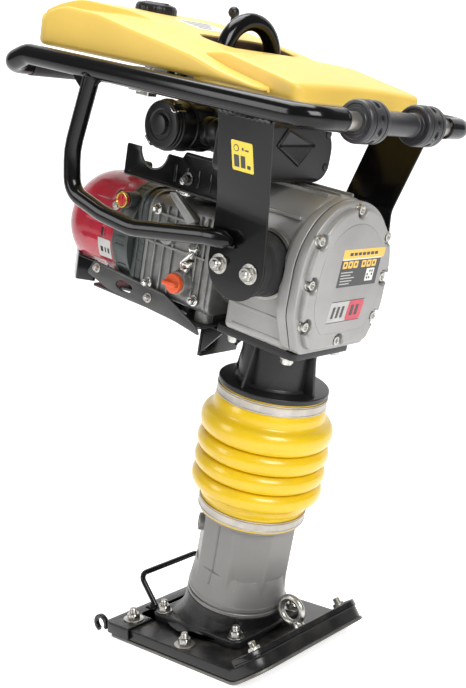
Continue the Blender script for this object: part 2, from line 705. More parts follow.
# Flat steel bands with rolled lips and a worm screw each.
band_steel = Finish("dull_band_steel", (0.50, 0.47, 0.43), 0.36, metal=0.9)
BAND = band_steel.mottle(50, 0.25).grain(260, 0.00012, stretch=(1, 1, 10)).done()
brass_edge = Finish("brassy_band_edge", (0.52, 0.36, 0.13), 0.3, metal=1.0).mottle(80, 0.3).done()
for name, body, node, low in (("gaiter_band_low", "foot", "lower_clamp", 201),
                              ("gaiter_band_high", "machine", "upper_clamp", 392.5)):
    line = soften([(84.7, low), (86.9, low), (86.9, low + 1.6), (86.2, low + 2), (86.2, low + 14),
                   (86.9, low + 14.4), (86.9, low + 16), (84.7, low + 16)], 0.3, closed=False)
    edge_line = [(86.4, low + 12.6), (86.9, low + 12.8), (86.9, low + 13.4), (86.4, low + 13.6)]
    screw = moved(block((85, -12, low + 1.5), (92, 12, low + 14.5), 2),
                  Matrix.Rotation(math.radians(100), 4, "Z"))
    thread = moved(spin([(0, -16)] + [(3.6 + 0.5 * (i % 2), -16 + i) for i in range(33)] + [(0, 16)],
                        (89, 0, low + 8), "y", 16), Matrix.Rotation(math.radians(100), 4, "Z"))
    piece(name, body, [BAND, brass_edge], [spin(line, steps=128), mark(spin(edge_line, steps=128), 1),
                                           screw, thread], node, LEAN)

# ---------------------------------------------------------------- guide cylinder
# Cast guide that slides on the ram tube, painted black, with a disc for the gaiter, four gussets
# and the flange that four bolts pull up against the gear case.
guide_line = soften([(50.2, 250), (58, 250), (58, 380), (81, 381), (81, 410), (86, 411), (86.5, 412),
                     (86.5, 418), (85.5, 419.2), (62, 419.5), (58, 424), (58, 482), (50.2, 484)],
                    [0, 1, 2, 1, 0.5, 0.5, 0.8, 0.8, 1, 3, 4, 2, 0], closed=False)
FLANGE_LOW = 485
case_flange = slab(soften(oblong(-78, -70, 78, 70), 10), FLANGE_LOW, 497, 1.5)
gussets = []
for side in (-1, 1):
    gussets.append(slab([(side * 52, 418), (side * 78, 418), (side * 66, 487), (side * 52, 487)],
                        -3, 3, 1, "y"))
    gussets.append(slab([(side * 52, 418), (side * 78, 418), (side * 62, 487), (side * 52, 487)],
                        -3, 3, 1, "x"))
piece("guide", "machine", CAST_BLACK, [spin(guide_line, steps=96), case_flange] + gussets,
      "guide_cylinder", LEAN)
case_screws = []
for x, y in [(x, y) for x in (-46, 58) for y in (-58, 58)]:
    case_screws += [warped(part, lambda px, py, pz: (px, py, 2 * FLANGE_LOW - pz))
                    for part in nut((x, y, FLANGE_LOW), "z", 17, 8, 11, 5, 0)]
piece("case_screws", "machine", ZINC, case_screws, "case_bolts", LEAN)

# ---------------------------------------------------------------- gear case and its cover
# Cast aluminium case in the same grey paint; the deep front cover sits on a thin gasket and is
# held by eight socket screws in pockets cut out of its raised face.
COVER_BOLTS = [(-82, 669), (82, 669), (-87, 607), (87, 607), (-84, 546), (84, 546), (0, 711), (0, 516)]


def cover_outline(back):
    """Round top, straight sides that draw in towards the foot."""
    top, low, foot = 106 - back, 501 + back, 80 - back
    return soften([(-foot, low), (foot, low), (top, 560), (top, 616 + top), (-top, 616 + top),
                   (-top, 560)], [14, 14, 60, top - 0.5, top - 0.5, 60], steps=16)


case_plan = soften(oblong(-78, 497, 78, 722), [12, 12, 62, 62], steps=10)
case_parts = [slab(case_plan, -54, 64, 4, "x"), slab(cover_outline(0), 60, 75, 1.6, "x"),
              slab(inset(cover_outline(0), 6), 50, 61, 5, "x")]
for side in (-1, 1):
    out = "y" if side > 0 else (0, -1, 0)
    case_parts.append(spin(soften([(20, 70), (56, 76), (49, 80), (49, 88), (20, 88)],
                                  [0, 3, 3, 1.2, 0], closed=False), (10, 0, 615), out, 64))
    for height, low, high in ((540, -40, 52), (690, -40, 52), (510, -40, 52)):
        case_parts.append(block((low, side * 76 - 3, height - 2.5), (high, side * 76 + 3, height + 2.5), 1.5))
for across in (-30, 0, 30):
    case_parts.append(block((-48, across - 2, 718), (58, across + 2, 725), 1.5))
for side in (-1, 1):
    ring = turned(oblong(49.3, 81, 52, 87.8), 0.5, (10, 0, 615), (0, side, 0), 64)
    on_boss = Matrix.Translation((10, 0, 615)) @ Matrix.Rotation(math.radians(90 * side), 4, "X")
    screw = moved(block((49, -7, 80), (57, 7, 88), 1.6), on_boss @ Matrix.Rotation(math.radians(20), 4, "Z"))
    case_parts += [mark(ring, 1), mark(screw, 1)]
piece("case_shell", "machine", [GREY, BAND], case_parts, "gear_case", LEAN)
gasket = Finish("gasket_paper", (0.03, 0.03, 0.03), 0.7).mottle(80, 0.3).grain(500, 0.00005)
ready("cover_gasket", gasket.done())


def scalloped(outline, bites):
    """Cuts round bites out of the rim of an outline."""
    line = []
    for index, point in enumerate(outline):
        ahead = outline[(index + 1) % len(outline)]
        pieces_count = max(1, int((ahead - point).length / 1.2))
        line += [point.lerp(ahead, step / pieces_count) for step in range(pieces_count)]
    kept = list(line)
    for (y, z), radius in bites:
        centre = Vector((y, z))
        inside = [(p - centre).length < radius for p in kept]
        if not any(inside) or all(inside):
            continue
        start = next(i for i in range(len(kept)) if inside[i] and not inside[i - 1])
        kept = kept[start:] + kept[:start]
        inside = inside[start:] + inside[:start]
        count = next((i for i, state in enumerate(inside) if not state), len(inside))
        first, last = kept[-1] - centre, kept[count] - centre
        begin = math.atan2(first.y, first.x)
        sweep = (math.atan2(last.y, last.x) - begin) % (2 * math.pi)
        middle_in = centre + Vector((math.cos(begin + sweep / 2), math.sin(begin + sweep / 2))) * radius
        if (middle_in - Vector((0, 616))).length > (centre - Vector((0, 616))).length:
            sweep -= 2 * math.pi
        arc = [centre + Vector((math.cos(begin + sweep * s / 14), math.sin(begin + sweep * s / 14))) * radius
               for s in range(15)]
        kept = arc + kept[count:]
    return kept


face_plan = scalloped(cover_outline(9), [(spot, 12) for spot in COVER_BOLTS])
cover_parts = [slab(cover_outline(0), 76, 91, 2.2, "x"),
               slab(face_plan, 88, 101.0, 3.0, "x", steps=5, notched=True),
               slab(cover_outline(30), 100.2, 101.6, 1.0, "x")]
for y, z in COVER_BOLTS:
    cover_parts.append(turned([(9, 90), (9, 91.6), (5, 91.6)], 0.3, (0, y, z), "x", 24))
piece("cover_casting", "machine", GREY, cover_parts, "case_cover", LEAN)
screws = []
for y, z in COVER_BOLTS:
    screws.append(spin(soften([(0, 88), (8.6, 88), (8.6, 92.6), (6.8, 92.8), (6.8, 98.6), (4.2, 98.8),
                               (3.4, 95), (0, 94.6)], 0.4, closed=False, steps=2), (0, y, z), "x", 30,
                       shape=lambda turn, height: 1 + 0.03 * math.cos(turn * 30) if 93 < height < 98 else 1))
piece("cover_screws", "machine", ZINC, screws, "cover_bolts", LEAN)

# Printed foil on the cover: a panel with an amber band over black fields, and a two-tone badge.
# The marks are plain blocks and bars with no lettering.
foil_black = Finish("printed_black_foil", (0.02, 0.02, 0.022), 0.3, coat=0.3).mottle(60, 0.2).done()
foil_amber = Finish("printed_amber_foil", (0.78, 0.46, 0.06), 0.3, coat=0.3).mottle(60, 0.1).done()
foil_grey = Finish("printed_grey_foil", (0.46, 0.45, 0.43), 0.35, coat=0.3).mottle(60, 0.2).done()
foil_white = Finish("printed_white_foil", (0.72, 0.71, 0.68), 0.35, coat=0.3).mottle(60, 0.1).done()
foil_red = Finish("printed_red_foil", (0.55, 0.035, 0.07), 0.3, coat=0.3).mottle(60, 0.2).done()
FOILS = [foil_black, foil_amber, foil_grey, foil_white, foil_red]


def patch(low, high, level, look, slant=0.0, corner=1.0, thick=0.25):
    """A thin printed field on the cover's face, by its corners across and up the cover."""
    (y0, z0), (y1, z1) = low, high
    plan = soften([(y0, z0), (y1, z0), (y1 + slant, z1), (y0 + slant, z1)], corner, steps=3)
    return mark(slab(plan, level, level + thick, 0.1, "x", steps=1), look)


panel = [patch((-34, 600), (64, 641), 101.5, 0, 3.5), patch((-30, 641), (74, 655), 101.5, 1, 1.5),
         patch((-30, 639.6), (68, 641.4), 101.6, 3, 0.2, 0.5), patch((34, 606), (54, 625), 101.7, 3, 1.6)]
for count in range(7):
    panel.append(patch((-14 + count * 10.4, 645.6), (-6 + count * 10.4, 650.2), 101.75, 0))
for place in (-27, -14, -1, 19, 32, 45):
    panel += [patch((place, 627.5), (place + 11, 638), 101.7, 1, 1, 1.6),
              patch((place + 3.4, 630.6), (place + 7.6, 635), 101.85, 0, 0.4, 1)]
panel += [patch((-28, 604 + 4.2 * count), (-4 + 5 * (count % 3), 605.6 + 4.2 * count), 101.7, 2, 0.2, 0.4)
          for count in range(5)]
panel += [patch((37 + 5.6 * place, 609 + 5 * row), (40.6 + 5.6 * place, 612.4 + 5 * row), 101.85, 0, 0.3, 0.6)
          for place in range(3) for row in range(3) if place + row != 2]
badge = [patch((-42, 548), (2, 578), 101.5, 2, 6), patch((2, 548), (40, 578), 101.5, 4, 7, 5),
         patch((-42, 547), (40, 548.2), 101.6, 0, 0.3, 0.4),
         patch((-36, 577.8), (46, 579), 101.6, 0, 0.3, 0.4)]
badge += [patch((-34 + 11 * count, 554), (-28 + 11 * count, 571), 101.75, 0, 4) for count in range(3)]
badge += [patch((12 + 12 * count, 555), (19 + 12 * count, 571), 101.75, 0, 3) for count in range(2)]
piece("cover_foils", "machine", FOILS, panel + badge, (), LEAN)

# Inside the case: crank gear, rod, clutch drum with its pinion, all of machined steel.
for node in ("crank_gear", "connecting_rod", "clutch_pinion", "engine_rotor"):
    ready(node, OILED)

# ---------------------------------------------------------------- rubber mounts
# Waisted rubber pucks bonded between steel discs; they carry the whole handle on the case.
black_rubber = Finish("black_mount_rubber", (0.012, 0.012, 0.013), 0.6)
black_rubber.dust(0.12).wear(0.2, (0.06, 0.06, 0.06))
RUBBER = black_rubber.grain(500, 0.0002).done()
PLATED = Finish("plated_disc", (0.03, 0.03, 0.032), 0.35, metal=0.9).mottle(60, 0.3).done()
pucks = []
for side in (-1, 1):
    out = "y" if side > 0 else (0, -1, 0)
    line = [(0, 91), (45.5, 91), (47, 93), (46.6, 97)]
    line += [(44.2 + 2.4 * abs(math.cos(math.pi * step / 10)), 98 + 4 * step) for step in range(11)]
    line += [(47, 141), (45.5, 143), (0, 143)]
    pucks.append(spin(line, (10, 0, 615), out, 80))
    for low, high in ((88.05, 91.2), (142.8, 147.6)):
        pucks.append(mark(turned(oblong(0, low, 48, high), 0.8, (10, 0, 615), out, 80), 1))
piece("mount_pucks", "machine", [RUBBER, PLATED], pucks, "rubber_mounts", LEAN)

# ---------------------------------------------------------------- engine block
# Die-cast aluminium crankcase with ribs and a filler boss, its dark cover behind it and a fan
# ring casting; thin gaskets show as black lines, hexagon screws hold each joint.
die_cast = Finish("die_cast_aluminium", (0.27, 0.27, 0.262), 0.42, metal=0.6)
die_cast.mottle(40, 0.35).wear(0.5, (0.10, 0.10, 0.10), 50, 0.6).dust(0.4, (0.25, 0.23, 0.2))
DIE_CAST = die_cast.grain(420, 0.0004, 3.0).done()
dark_cast = Finish("dark_cast_ring", (0.06, 0.07, 0.068), 0.4, metal=0.4, coat=0.1)
dark_cast.mottle(30, 0.3).wear(0.4, (0.3, 0.3, 0.29), 60).dust(0.3)
DARK_CAST = dark_cast.grain(420, 0.0003, 3.0).done()
bright_zinc = Finish("bright_fittings", (0.78, 0.77, 0.74), 0.2, metal=1.0).mottle(150, 0.25)
BRIGHT = bright_zinc.grain(700, 0.0001).done()
SHAFT = 575


def case_outline(half, low, high, top, foot):
    return soften(oblong(-half, low, half, high), [foot, foot, top, top], steps=8)


block_parts = [slab(case_outline(74, 500, 660, 22, 16), -245, -95, 4, "x"),
               slab(case_outline(77, 498, 664, 30, 22), -245, -238, 1.5, "x"),
               slab(case_outline(78, 499, 665, 30, 22), -112, -101, 1.5, "x"),
               turned([(20, -100), (64, -100), (62, -90), (62, -55), (20, -55)], 2, (0, 0, SHAFT), "x"),
               *[turned([(10, 483.1), (15, 483.1), (14, 503), (10, 503)], 1, (x, y, 0))
                 for x in (-225, -120) for y in (-50, 50)],
               turned([(8, 70), (24, 72), (20, 82), (18, 92), (8, 92)], 2, (-151, 0, 540), (0, -1, 0), 40)]
for side in (-1, 1):
    for x in (-222, -203, -184, -132, -118):
        block_parts.append(block((x - 2, side * 74 - 4, 512), (x + 2, side * 74 + 4, 648), 1.4))
    for z in (586, 612, 634):
        block_parts.append(block((-238, side * 74 - 5, z - 2), (-112, side * 74 + 5, z + 2), 1.4))
    block_parts.append(turned([(8, 70), (20, 70), (17, 83), (8, 84)], 2, (-196, 0, 606), (0, side, 0), 36))
    block_parts.append(turned([(6, 70), (15, 70), (13, 86), (6, 87)], 2, (-134, 0, 622), (0, side, 0), 32))
block_parts.append(slab(soften([(-200, 672), (-182, 674), (-132, 640), (-150, 632)], 3), -88, -76, 2, "y",
                        steps=2))
piece("engine_block", "machine", DIE_CAST, block_parts, "crankcase", LEAN)

block_screws = []
for y, z in [(66 * sy, z) for sy in (-1, 1) for z in (522, 575, 632)]:
    block_screws += nut((-110, y, z), "x", 10, 6, 8, 3, 0)
for spot, way in (((-196, -84, 606), (0, -1, 0)), ((-134, -87, 622), (0, -1, 0)),
                  ((-222, -80, 520), (0, -1, 0)), ((-120, -80, 520), (0, -1, 0)),
                  ((-222, -80, 640), (0, -1, 0))):
    block_screws += nut(spot, way, 12, 7, 9, 3.5, 4)
for index, (radius, height) in enumerate(((8, 9), (11, 8), (7, 10), (9, 7))):
    block_screws.append(turned(oblong(0, 0, radius, height), 1.2,
                               (-146 + 4 * index, -80, 560 + 12 * index), (0.2, -0.5, 1), 28))
block_screws.append(tube([(-150, -80, 558), (-148, -89, 574), (-132, -90, 590), (-128, -80, 604)],
                         8, 3.2, 14))
piece("engine_screws", "machine", BRIGHT, block_screws, (), LEAN)

cover_lines = [slab(case_outline(79, 496, 664, 34, 30), -268, -245.4, 3, "x")]
cover_lines.append(slab(case_outline(81, 494, 667, 36, 32), -262, -256, 1, "x"))
for side in (-1, 1):
    for z in (548, 562, 576, 590, 604):
        cover_lines.append(block((-267, side * 79 - 1.2, z - 1), (-247, side * 79 + 1.2, z + 1), 0.6))
piece("engine_side", "machine", DARK_CAST, cover_lines, "side_cover", LEAN)

ring_parts = [turned([(60, -304), (93, -304), (93, -298), (91, -296), (91, -276), (93, -274),
                      (93, -268.2), (60, -268.2)], 1, (0, 0, SHAFT + 2), "x", 96),
              turned([(6, 60), (13, 66), (13, 88), (7.2, 88), (7.2, 84)], 1, (-288, 0, 639), (0, -1, 0), 32)]
for turn in range(0, 360, 30):
    spot = Matrix.Translation((0, 0, SHAFT + 2)) @ Matrix.Rotation(math.radians(turn), 4, "X")
    ring_parts.append(moved(block((-300, -3, 88), (-272, 3, 92.6), 1), spot))
for turn in (22, 100, 190, 262, 330):
    spot = Matrix.Translation((0, 0, SHAFT + 2)) @ Matrix.Rotation(math.radians(turn), 4, "X")
    ring_parts.append(moved(block((-303, -6, 80), (-270, 6, 92.4), 3), spot))
piece("fan_ring", "machine", DARK_CAST, ring_parts, "fan_housing", LEAN)

# Pressed steel recoil cover in crimson enamel, with a ring of dark cooling slots and three screws.
crimson = Finish("crimson_enamel", (0.42, 0.010, 0.030), 0.24, coat=0.4)
crimson.mottle(20, 0.3).wear(0.2, (0.1, 0.02, 0.02), 80).dust(0.06)
CRIMSON = crimson.grain(400, 0.00005).done()
slot_dark = Finish("dark_recess", (0.006, 0.006, 0.006), 0.8).mottle(60, 0.2).done()


def dish(turn, height):
    """Presses shallow recesses between the spokes of the cover's face."""
    if not 26 < height < 72:
        return 1
    spoke = math.cos(8 * turn)
    return 1 - 0.035 * max(0.0, min(1.0, (spoke - 0.1) * 4))


cap_line = [(60, 0), (92, 0), (92, 3), (90.5, 4), (90.5, 20), (91, 24), (91, 30), (91, 40), (91, 50),
            (91, 60), (91, 69), (90, 80), (88, 94), (86.5, 101), (82, 114), (76, 124), (70, 130),
            (64, 132.5), (62, 131), (58, 131), (55, 134), (48, 138), (40, 140.5), (20, 142.5), (0, 143)]
recoil_parts = [spin(cap_line, (-304.1, 0, SHAFT + 2), (-1, 0, 0), 160, shape=dish)]
for count in range(12):
    spot = Matrix.Translation((-304.1, 0, SHAFT + 2)) @ Matrix.Rotation(math.radians(15 + 30 * count), 4, "X")
    face_slot = slab(soften([(-4.5, 40), (4.5, 40), (6.5, 58), (-6.5, 58)], 3), -140.5, -137.2, 0.4, "x")
    recoil_parts.append(mark(moved(face_slot, spot), 1))
for count in range(8):
    spot = Matrix.Translation((-304.1, 0, SHAFT + 2)) @ Matrix.Rotation(math.radians(45 * count), 4, "X")
    recoil_parts.append(mark(moved(block((-30, -7, 88.4), (-18, 7, 90.6), 3), spot), 1))


def wrapped(x, y, z):
    """Bends a flat sticker round the cover."""
    return x, -math.sqrt(max(0.0, (y + 0.6) ** 2 - (z - SHAFT - 2) ** 2)), z


sticker = slab(soften(oblong(-340, 534, -309, 566), 2), 90.6, 91.0, 0.1, "y", steps=1)
recoil_parts.append(mark(warped(sliced(sticker, 2, [537 + 3 * step for step in range(9)]), wrapped), 3))
for low, high in ((-334, -328), (-324, -321), (-317, -313)):
    sign = slab(soften(oblong(low, 543, high, 552), 1), 90.9, 91.2, 0.1, "y", steps=1)
    recoil_parts.append(mark(warped(sliced(sign, 2, [546, 549]), wrapped), 1))
for turn in (60, 180, 300):
    spot = Matrix.Translation((-304.1, 0, SHAFT + 2)) @ Matrix.Rotation(math.radians(turn), 4, "X")
    recoil_parts += [mark(moved(part, spot), 2) for part in nut((-12, 0, 90.5), "z", 10, 5, 8, 3, 0)]
piece("recoil_cover", "machine", [CRIMSON, slot_dark, ZINC, foil_grey], recoil_parts, "recoil_housing", LEAN)

# Starter grip: moulded black bar with the first stretch of its rope.
black_plastic = Finish("moulded_black_plastic", (0.008, 0.008, 0.009), 0.34, Specular_IOR_Level=0.45)
black_plastic.mottle(20, 0.3).dust(0.08)
PLASTIC = black_plastic.grain(800, 0.00012).done()
rope_look = Finish("starter_rope", (0.30, 0.29, 0.27), 0.8)
ROPE = rope_look.grain(900, 0.0004, stretch=(1, 1, 0.3)).done()
grip_bar = tube([(-360, -25, 679.5), (-360, 0, 682.5), (-360, 25, 679.5)], 60, 7, 20,
                shape=lambda share: (1.0, 1 + 0.14 * math.sin(math.pi * share)))
stem = turned([(0, 669.5), (8, 669.5), (6.4, 678), (0, 680)], 1, (-360, 0, 0), steps=28)
rope_line = [(2.2 + 0.25 * math.sin(step * 1.9), 597 + step) for step in range(1, 74)]
rope = spin([(0, 597)] + rope_line + [(0, 671)], (-360, 0, 0), steps=14)
piece("starter_grip", "starter", [PLASTIC, ROPE], [grip_bar, stem, mark(rope, 1)], "recoil_grip", LEAN)

# Stop switch: red knob with a gold-coloured ring, turned by hand.
def milled(count, depth, low, high):
    """Cuts grip flutes into a rim between two heights."""
    def rule(turn, height):
        return 1 - depth * (0.5 + 0.5 * math.cos(count * turn)) if low < height < high else 1
    return rule


KNOB = (-288, 0, 639)
RIGHT = (0, -1, 0)
gold = Finish("gold_ring", (0.65, 0.42, 0.10), 0.25, metal=1.0).mottle(90, 0.2).done()
knob_red = Finish("red_knob_plastic", (0.50, 0.012, 0.012), 0.28, coat=0.3).mottle(60, 0.2).done()
knob = spin(soften([(0, 89), (10, 89), (10.4, 92), (9.6, 97.4), (0, 98)], [0, 1, 1, 1.6, 0], closed=False),
            KNOB, RIGHT, 48, milled(12, 0.05, 89.5, 99))
ring = turned([(10, 93.5), (12.6, 94), (13, 96), (12.4, 98.2), (10.6, 98.6), (9.8, 97)], 0.4, KNOB, RIGHT, 40)
piece("switch_knob", "stop_switch", [knob_red, gold],
      [knob, block((-290, -99.6, 631), (-286, -96, 647), 1), mark(ring, 1)],
      "stop_switch_knob", LEAN)

# Orange oil filler cap with a wing to turn it by.
orange = Finish("orange_plastic", (0.78, 0.10, 0.015), 0.32, coat=0.2).mottle(60, 0.15)
oil_line = soften([(0, 82), (11, 82), (11, 92.3), (16, 92.3), (16, 99), (14.5, 100.4), (0, 100.4)],
                  [0, 0.5, 0.2, 0.6, 0.8, 0.8, 0], closed=False, steps=3)
piece("oil_filler", "oil_filler_cap", orange.grain(500, 0.0001).done(),
      [spin(oil_line, (-151, 0, 540), RIGHT, 72, milled(24, 0.035, 92.5, 99.5)),
       block((-165, -109.8, 536.5), (-137, -99, 543.5), 2)],
      "oil_cap", LEAN)

# ---------------------------------------------------------------- top of the engine
# Finned aluminium barrel and head, the carburettor with its float bowl and fittings, the black
# sheet shroud with its arch, the muffler on the left and the spark plug behind.
fin_plan = soften(oblong(-238, -46, -142, 46), 10)
barrel = [turned(oblong(10, 660.1, 36, 721.5), 2, (-190, 0, 0))]
barrel += [slab(fin_plan, 668 + 9 * count, 670.8 + 9 * count, 0.9) for count in range(6)]
piece("engine_barrel", "machine", DIE_CAST, barrel, "engine_cylinder", LEAN)
carb = [block((-196, -84, 688), (-164, -50, 714), 4),
        turned([(4, 668.6), (12, 668.6), (16.5, 671), (17, 676), (17, 689), (4, 690)], 2, (-180, -67, 0)),
        turned([(4, -85), (14, -85), (14, -80), (12, -78), (12, -50), (14, -47), (4, -46.2)], 1,
               (-180, 0, 703), "y"),
        turned([(2, 84), (6, 84), (6, 88), (3, 89)], 0.6, (-172, 0, 694), (0, -1, 0), 20)]
for x, y in ((-192, -60), (-168, -60)):
    carb += nut((x, y, 713.5), "z", 8, 4, 6, 2.5, 2)
piece("carburettor_casting", "machine", BRIGHT, carb, "carburettor", LEAN)

arch = [Vector((-239 + 31 * math.cos(turn), 730 + 31 * math.sin(turn))) for turn in
        [math.radians(184 + 8 * step) for step in range(22)]]
shroud_line = soften([(-270, 728), (-301, 728), (-301, 678), (-94, 678), (-94, 738), (-172, 738), (-178, 728),
                      (-208, 728)], [0, 4, 4, 5, 5, 4, 3, 0], closed=False) + arch[::-1]
shroud_parts = [slab(shroud_line, -88.2, -85.2, 0.8, "y", notched=True),
                block((-172, -86, 716.1), (-146, -41, 719), 0.8)]
shroud_parts += [mark(tube([(p.x, -87.4, p.y) for p in arch], 0, 1.5, 12), 1),
                 tube([(-299, -87.6, 681), (-97, -87.6, 681)], 0, 2.4, 12),
                 tube([(-170, -87.6, 735), (-97, -87.6, 735)], 0, 2.0, 12)]
shroud_parts += [block((-190 + 24 * count, -89.6, 690), (-184 + 24 * count, -87, 716), 1.2)
                 for count in range(4)]
shroud_parts += [mark(part, 1) for part in nut((-160, -88, 700), (0, -1, 0), 12, 6, 10, 4, 3)]
piece("shroud_sheet", "machine", [BLACK, BARE], shroud_parts, "engine_shroud", LEAN)

hot_steel = Finish("heat_browned_steel", (0.20, 0.17, 0.14), 0.45, metal=0.9)
hot_steel.mottle(20, 0.5).wear(0.4, (0.25, 0.12, 0.05), 40, 0.7)
HOT = hot_steel.grain(200, 0.0003).done()
can_plan = soften(oblong(-246, 84, -138, 138), 16)
muffler = [slab(can_plan, 640, 718, 5),
           turned([(2, 47), (14, 47), (14, 84), (2, 86)], 1, (-192, 0, 690), "y"),
           turned([(6, 130), (9, 130), (9, 150), (6.5, 150)], 0.6, (-192, 0, 700), "y", 28),
           slab(inset(can_plan, -1.5), 677, 681, 1)]
for z in (650, 662, 690, 702, 712):
    muffler.append(block((-236, 137.2, z - 2), (-148, 139.4, z + 2), 1.2))
piece("muffler_can", "machine", HOT, muffler, "muffler", LEAN)
plug_line = soften([(0, 0), (8, 0), (8, 6), (6, 7), (6, 14), (9, 16), (10, 19), (10, 34), (8, 38), (0, 38)],
                   0.8, closed=False, steps=2)
piece("plug_boot", "machine", PLASTIC, [spin(plug_line, (-238.1, 0, 700), (-1, 0, 0), 32)], "spark_plug",
      LEAN)

# ---------------------------------------------------------------- air cleaner
# Black moulded drum with bands, a cap on its right end held by two wire clips, and the rounded
# housing with a raised diamond that it feeds through a short duct.
DRUM_X, DRUM_Z = -218, 770
drum_line = [(10, -98), (36, -98), (37, -97)]
for low, high, radius in ((-92, -87, 39), (-62, -57, 39), (-20, -15, 39), (20, 25, 39)):
    drum_line += [(37, low - 0.6), (radius, low), (radius, high), (37, high + 0.6)]
drum_line += [(37, 34), (35.5, 36), (10, 36)]
drum_parts = [spin(soften(drum_line, 0.5, closed=False, steps=2), (DRUM_X, 0, DRUM_Z), "y", 80)]
for turn in range(0, 360, 20):
    spot = Matrix.Translation((DRUM_X, 0, DRUM_Z)) @ Matrix.Rotation(math.radians(turn), 4, "Y")
    drum_parts.append(moved(block((-1.4, -56, 35.5), (1.4, -21, 38.2), 0.8), spot))
piece("filter_drum", "machine", PLASTIC, drum_parts, "air_cleaner_drum", LEAN)
cap_parts = [turned([(4, -98.1), (36, -98.1), (36, -103), (33, -104.2), (24, -104.6), (22, -102.6),
                     (16, -102.6), (14.5, -109.4), (4, -110)], 0.8, (DRUM_X, 0, DRUM_Z), "y", 72)]
for turn in (40, 220):
    spot = Matrix.Translation((DRUM_X, 0, DRUM_Z)) @ Matrix.Rotation(math.radians(turn), 4, "Y")
    wire = tube([(-7, -86, 38.6), (-7, -100, 38.9), (-5, -106, 33), (5, -106, 33), (7, -100, 38.9),
                 (7, -86, 38.6)],
                3, 1.1, 10)
    cap_parts.append(mark(moved(wire, spot), 1))
    cap_parts.append(moved(block((-9, -104.5, 30), (9, -99, 37.4), 1.5), spot))
piece("filter_cap", "machine", [PLASTIC, BRIGHT], cap_parts, "air_cleaner_cap", LEAN)

box_plan = soften(oblong(-132, 728, 40, 813), [14, 30, 40, 30], steps=12)
diamond = soften([(-96, 780), (-41, 752), (-8, 784), (-76, 806)], 2)
box_parts = [slab(box_plan, -84, 2, 9, "x", steps=6), slab(diamond, 0, 4.6, 1.6, "x"),
             slab(inset(diamond, 4), 4, 4.9, 0.4, "x"), slab(inset(box_plan, -1.2), -44, -40, 1.2, "x"),
             turned([(6, -75), (20, -75), (22, -72), (22, -60), (20.5, -58), (22, -56), (22, -40),
                     (20.5, -38),
                     (22, -36), (22, 24), (6, 24)], 0.8, (-106, -41, DRUM_Z), "x", 48)]
for spot in ((-118, 742), (26, 752), (20, 800), (-118, 800)):
    box_parts.append(turned([(0, -2), (6, -2), (6, 3.4), (0, 3.8)], 1.2, (0, spot[0], spot[1]), "x", 24))
piece("filter_housing", "machine", PLASTIC, box_parts, "air_box", LEAN)

# ---------------------------------------------------------------- tray, bumper and bracket
# Pressed grey steel tray with oval holes under the engine, its turned-up sides bolted through,
# the bent black bumper behind and the welded bracket that ties it to the guide.
tray_look = Finish("grey_pressed_steel", (0.085, 0.086, 0.084), 0.34, metal=0.3, coat=0.2)
tray_look.mottle(30, 0.35).dust(0.15).wear(0.3, (0.3, 0.3, 0.29), 80)
TRAY = tray_look.grain(300, 0.0002).done()
TRAY_SIDE = soften([(-365, 498), (-309, 484), (-150, 477), (-96, 470), (-104, 482), (-182, 513), (-350, 522)],
                   [4, 10, 10, 2, 6, 14, 5])
ovals = [circle(-272, 499, 20, 32, 9)]
floor_plan = soften(oblong(-350, -81, -100, 81), 6)
floor_holes = [circle(x, y, 22, 32, 9) for x in (-290, -180) for y in (-50, 50)]
tray_parts = [slab(TRAY_SIDE, -83, -80, 0.7, "y", holes=ovals),
              slab(TRAY_SIDE, 80, 83, 0.7, "y", holes=ovals),
              slab(floor_plan, 479, 483, 0.9, holes=floor_holes)]
for side in (-1, 1):
    tray_parts.append(tube([(-349, side * 81.5, 520.6), (-184, side * 81.5, 511.6)], 0, 2.0, 12))
    for x, z in ((-340, 512), (-214, 497)):
        tray_parts += [mark(part, 1) for part in nut((x, side * 83, z), (0, side, 0), 10, 5, 8, 3, 2)]
piece("tray_sheet", "machine", [TRAY, ZINC], tray_parts, "engine_tray", LEAN)
bumper_route = [(-354, -77), (-398, -77), (-454, -33), (-454, 33), (-398, 77), (-354, 77)]
outer_bumper = soften(bumper_route, [0, 12, 12, 12, 12, 0], closed=False)
bumper_plan = outer_bumper + [Vector((p.x + (3.8 if abs(p.y) < 60 else 1.5), p.y * (1 - 3.2 / 77)))
                              for p in outer_bumper[::-1]]


def bumper_edge(x, y, z):
    """Draws the flat bar in towards its ends, lower behind and level in front."""
    share = min(1.0, max(0.0, (-350 - x) / 90))
    low, high = 485 - 16 * share, 520
    return x, y, low + (high - low) * (z - 470) / 50


piece("bumper_bar", "machine", BLACK, [warped(slab(bumper_plan, 470, 520, 1.2), bumper_edge)]
      + [tube([(p.x + 1.5, p.y * 0.975, 519) for p in outer_bumper], 0, 2.4, 12)],
      "rear_bumper", LEAN)
bracket_parts = [block((-128, -44, 474), (-79, 44, 479), 1), block((-84, -44, 474), (-79, 44, 485), 1),
                 block((-84, -44, 480), (-68, 44, 485), 1), block((-128, -44, 424), (-120, 44, 479), 1.4)]
for side in (-1, 1):
    bracket_parts.append(slab([(-124, 428), (-124, 476), (-82, 476)], side * 42 - 2, side * 42 + 2, 0.8, "y"))
    bracket_parts.append(tube([(-118, side * 38.5, 434), (-118, side * 38.5, 472)], 0, 2.2, 10))
for y in (-20, 20):
    bracket_parts += nut((-124, y, 452), (-1, 0, 0), 14, 8, 11, 4, 4)
piece("tray_support", "machine", BLACK, bracket_parts, "tray_bracket", LEAN)

